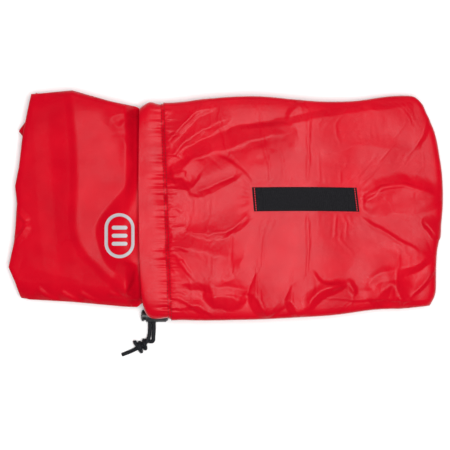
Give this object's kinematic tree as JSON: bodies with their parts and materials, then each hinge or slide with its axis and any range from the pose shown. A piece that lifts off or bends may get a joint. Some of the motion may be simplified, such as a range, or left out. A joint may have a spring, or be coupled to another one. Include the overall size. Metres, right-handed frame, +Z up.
{
  "type": "kayak spray skirt",
  "caption": "Coated nylon kayak spray skirt, folded and drawn half-way out of its drawstring stow sack with cord lock and webbing strap.",
  "frame": {"origin": "middle of the object's footprint, on the surface that it lies on", "axes": "+X from the skirt's folded end to the sack's closed end, +Z up from the surface, +Y across, away from the drawcord's tails"},
  "size_m": [0.4557, 0.2788, 0.0486],
  "materials": {
    "coated_nylon": "semi-gloss coated plain weave",
    "thread": "matt sewing thread",
    "webbing": "matt ribbed webbing",
    "cord": "braided sheath",
    "shock_cord": "covered elastic",
    "lock_plastic": "fine moulded texture",
    "spring_steel": "bright wire",
    "silver_ink": "screen printed"
  },
  "bodies": {
    "sack": {"sack_top_panel": "coated_nylon", "sack_bottom_panel": "coated_nylon", "side_seam_far": "coated_nylon", "side_seam_near": "coated_nylon", "end_seam": "coated_nylon", "drawcord_channel": "coated_nylon", "channel_stitching": "thread", "drawcord_loop": "cord", "cord_eyelet": "lock_plastic", "tail_long": "cord", "tail_short": "cord", "tail_knot": "cord", "strap": "webbing", "strap_stitching": "thread"},
    "cord_lock": {"lock_barrel": "lock_plastic", "lock_spring": "spring_steel"},
    "lock_button": {"lock_plunger": "lock_plastic"},
    "skirt": {"deck": "coated_nylon", "printed_mark": "silver_ink", "rim_hem": "coated_nylon", "rim_shock_cord": "shock_cord", "grab_loop": "webbing", "waist_tunnel": "coated_nylon", "tunnel_hem": "coated_nylon", "waist_drawcord": "cord", "waist_cord_tails": "cord", "waist_cord_end": "lock_plastic"},
    "waist_lock": {"waist_lock_barrel": "lock_plastic", "waist_lock_spring": "spring_steel"},
    "waist_button": {"waist_lock_plunger": "lock_plastic"}
  },
  "joints": [
    {"name": "skirt_slide", "type": "slide", "parent": "sack", "child": "skirt", "axis": [-1, 0, 0], "range_m": [0, 0.18]},
    {"name": "lock_slide", "type": "slide", "parent": "sack", "child": "cord_lock", "axis": [0, -1, 0], "range_m": [0, 0.008]},
    {"name": "lock_press", "type": "slide", "parent": "cord_lock", "child": "lock_button", "axis": [1, 0, 0], "range_m": [0, 0.0022], "deforming": ["lock_spring"]},
    {"name": "waist_lock_slide", "type": "slide", "parent": "skirt", "child": "waist_lock", "axis": [1, 0, 0], "range_m": [0, 0.008]},
    {"name": "waist_lock_press", "type": "slide", "parent": "waist_lock", "child": "waist_button", "axis": [0, 1, 0], "range_m": [0, 0.0018], "deforming": ["waist_lock_spring"]}
  ]
}
